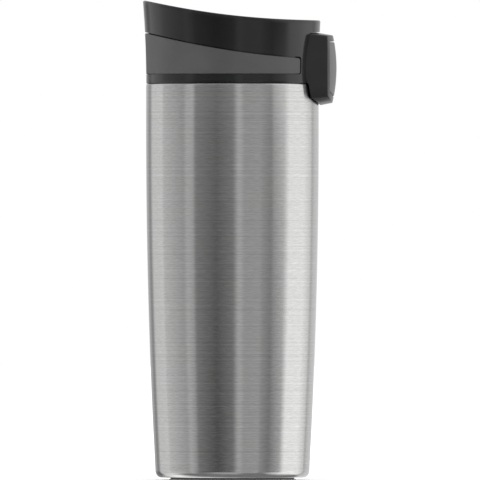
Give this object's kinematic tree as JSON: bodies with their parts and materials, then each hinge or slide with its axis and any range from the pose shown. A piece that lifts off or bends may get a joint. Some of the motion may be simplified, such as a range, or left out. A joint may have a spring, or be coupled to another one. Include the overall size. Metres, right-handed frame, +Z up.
{
  "type": "insulated travel mug",
  "caption": "Tall double-walled steel travel mug, narrowing to its base, with a screw-in plastic lid whose drinking valve opens while a side button is pressed.",
  "frame": {"origin": "on the table, at the middle of the foot's underside, on the mug's axis", "axes": "+Z up along the mug's axis, +X towards the button, -X towards the drinking lip"},
  "size_m": [0.0856, 0.0782, 0.2123],
  "materials": {
    "brushed_steel": "brushed round the body",
    "liner_steel": "satin",
    "solder": "dull",
    "foot_rubber": "matte",
    "silicone": "matte translucent grey",
    "lid_plastic": "fine moulded texture, satin",
    "band_plastic": "soft-touch matte",
    "pod_plastic": "semi-gloss",
    "button_plastic": "satin",
    "slide_plastic": "natural acetal",
    "spring_steel": "bright wire"
  },
  "bodies": {
    "vessel": {"outer_shell": "brushed_steel", "inner_liner": "liner_steel", "base_pan": "liner_steel", "port_seal": "solder", "getter": "solder", "foot_pad": "foot_rubber"},
    "lid_seal": {"lid_gasket": "silicone"},
    "lid": {"lid_shell": "lid_plastic", "lid_drum": "lid_plastic", "grip_band": "band_plastic", "button_housing": "pod_plastic", "housing_clip": "spring_steel", "stem_seal": "silicone", "spring_washer": "spring_steel", "valve_spring": "spring_steel", "button_spring": "spring_steel"},
    "button": {"button_cap": "button_plastic", "push_rod": "slide_plastic", "push_cam": "slide_plastic"},
    "valve": {"valve_stem": "slide_plastic", "valve_arm": "lid_plastic", "spout_plug": "silicone", "vent_plug": "silicone", "stem_clip": "spring_steel"}
  },
  "joints": [
    {"name": "lid_lift", "type": "slide", "parent": "vessel", "child": "lid_seal", "axis": [0, 0, 1], "range_m": [0, 0.06]},
    {"name": "lid_turn", "type": "hinge", "parent": "lid_seal", "child": "lid", "pos_m": [0, 0, 0.1752], "axis": [0, 0, 1], "range_deg": [0, 450]},
    {"name": "button_press", "type": "slide", "parent": "lid", "child": "button", "axis": [-1, 0, 0], "range_m": [0, 0.0035], "stiffness_N_per_m": 500, "springref_m": -0.004, "deforming": ["button_spring"]},
    {"name": "valve_drop", "type": "slide", "parent": "lid", "child": "valve", "axis": [0, 0, -1], "range_m": [0, 0.0035], "deforming": ["valve_spring"]}
  ],
  "couplings": [
    {"joint": "valve_drop", "follows": "button_press", "ratio": 1}
  ]
}
